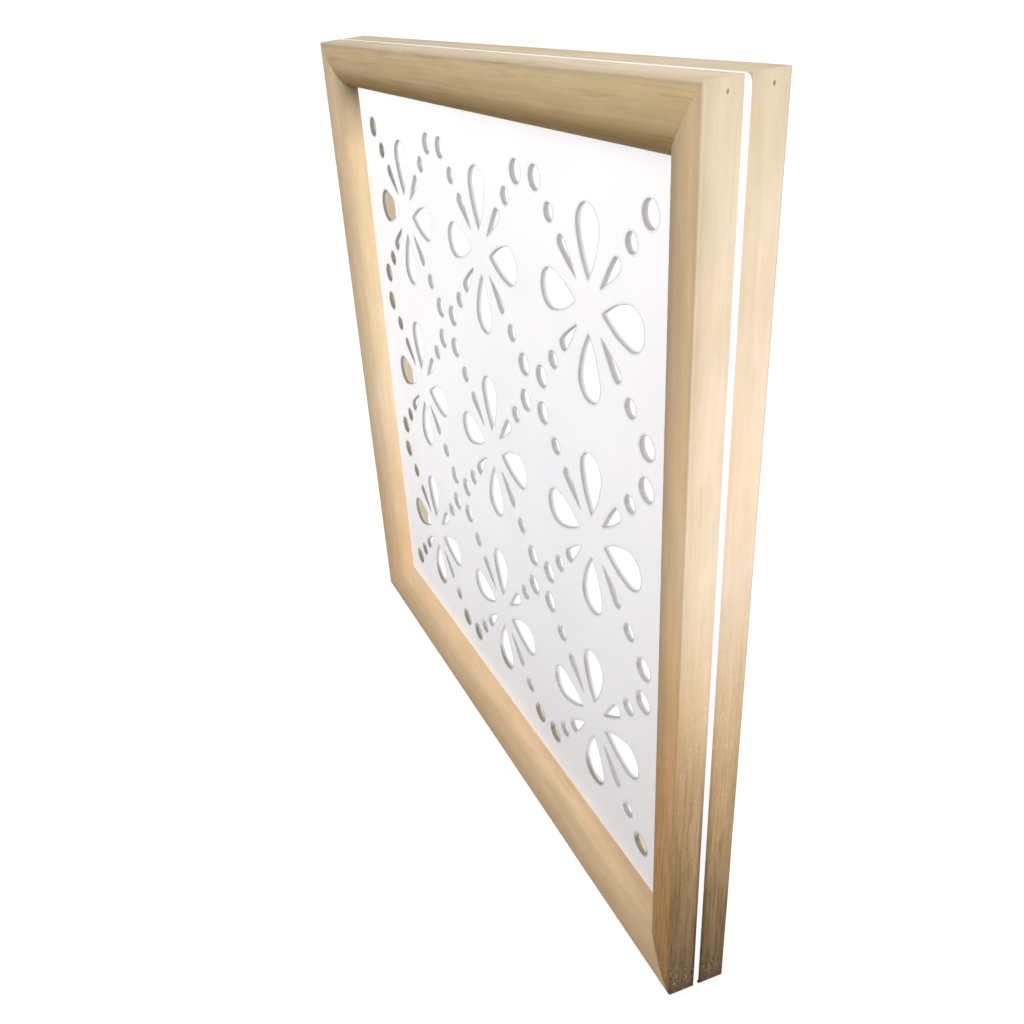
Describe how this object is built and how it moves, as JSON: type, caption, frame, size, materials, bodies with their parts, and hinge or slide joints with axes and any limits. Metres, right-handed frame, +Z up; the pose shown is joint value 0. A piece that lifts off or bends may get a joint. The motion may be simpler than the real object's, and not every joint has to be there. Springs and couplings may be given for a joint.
{
  "type": "decorative screen panel",
  "caption": "Square decorative screen panel: a thin white sheet pierced with petal rosettes and dots, clamped between a mitred front frame of rounded pine moulding and a plain square-edged back frame.",
  "frame": {"origin": "middle of the bottom edge of the panel, half way through its thickness", "axes": "+X to the right seen from the front, +Y from the front frame through the sheet to the back frame, +Z up; the panel stands on its bottom edge"},
  "size_m": [0.6, 0.044, 0.6],
  "materials": {
    "rail_timber": "bare sanded pine, fine straight grain along the rail",
    "stile_timber": "bare sanded pine, fine straight grain along the stile",
    "white_sheet": "matt white",
    "brad_steel": "dull steel"
  },
  "bodies": {
    "root": {"front_top_rail": "rail_timber", "front_bottom_rail": "rail_timber", "front_left_stile": "stile_timber", "front_right_stile": "stile_timber", "back_top_rail": "rail_timber", "back_bottom_rail": "rail_timber", "back_left_stile": "stile_timber", "back_right_stile": "stile_timber", "fretwork_sheet": "white_sheet", "front_corner_brads": "brad_steel", "back_corner_brads": "brad_steel"}
  },
  "joints": []
}
